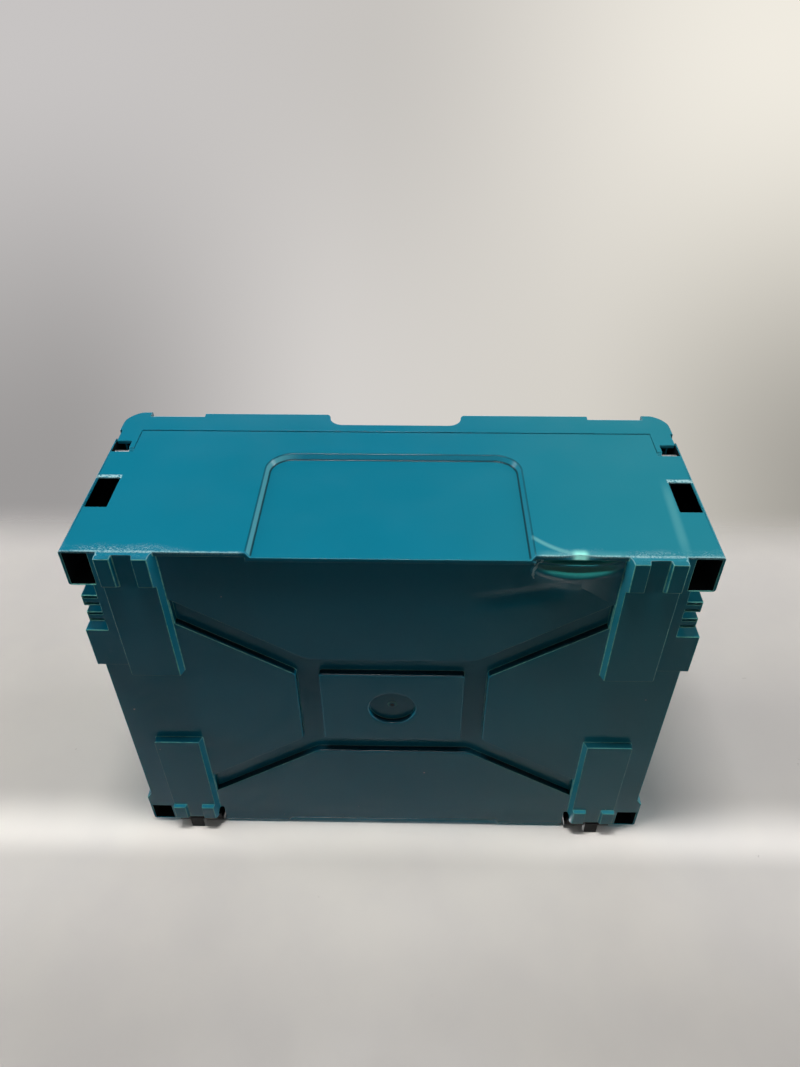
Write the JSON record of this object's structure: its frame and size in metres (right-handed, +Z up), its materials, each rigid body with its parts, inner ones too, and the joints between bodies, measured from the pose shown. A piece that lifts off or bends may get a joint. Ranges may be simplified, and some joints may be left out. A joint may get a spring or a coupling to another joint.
{
  "type": "hard tool case",
  "caption": "Stackable moulded tool case with a hinged lid, a folding handle, swinging front latches, hollow corner posts and a ribbed underside with foot strips.",
  "frame": {"origin": "on the floor plane under the foot blocks, at the middle of the whole outline", "axes": "+Z up through the lid, +X along the width, -Y towards the latches, +Y towards the hinges"},
  "size_m": [0.396, 0.2988, 0.163],
  "materials": {
    "case_plastic": "gloss",
    "black_plastic": "satin",
    "soft_grip": "matte",
    "steel_pin": "satin"
  },
  "bodies": {
    "base": {"base_shell": "case_plastic", "hinge_pin_left": "steel_pin", "hinge_pin_right": "steel_pin", "latch_pin_left": "steel_pin", "latch_pin_right": "steel_pin"},
    "lid": {"lid_shell": "case_plastic", "handle_pin_left": "steel_pin", "handle_pin_right": "steel_pin"},
    "handle": {"carry_handle": "black_plastic", "handle_grip": "soft_grip"},
    "left_latch": {"latch_left": "black_plastic"},
    "right_latch": {"latch_right": "black_plastic"}
  },
  "joints": [
    {"name": "lid_hinge", "type": "hinge", "parent": "base", "child": "lid", "pos_m": [0, 0.1434, 0.1175], "axis": [-1, 0, 0], "range_deg": [0, 95]},
    {"name": "handle_fold", "type": "hinge", "parent": "lid", "child": "handle", "pos_m": [0, 0.0014, 0.1543], "axis": [-1, 0, 0], "range_deg": [0, 90]},
    {"name": "left_latch_swing", "type": "hinge", "parent": "base", "child": "left_latch", "pos_m": [-0.1575, -0.1426, 0.0755], "axis": [-1, 0, 0], "range_deg": [0, 175]},
    {"name": "right_latch_swing", "type": "hinge", "parent": "base", "child": "right_latch", "pos_m": [0.1575, -0.1426, 0.0755], "axis": [-1, 0, 0], "range_deg": [0, 175]}
  ]
}
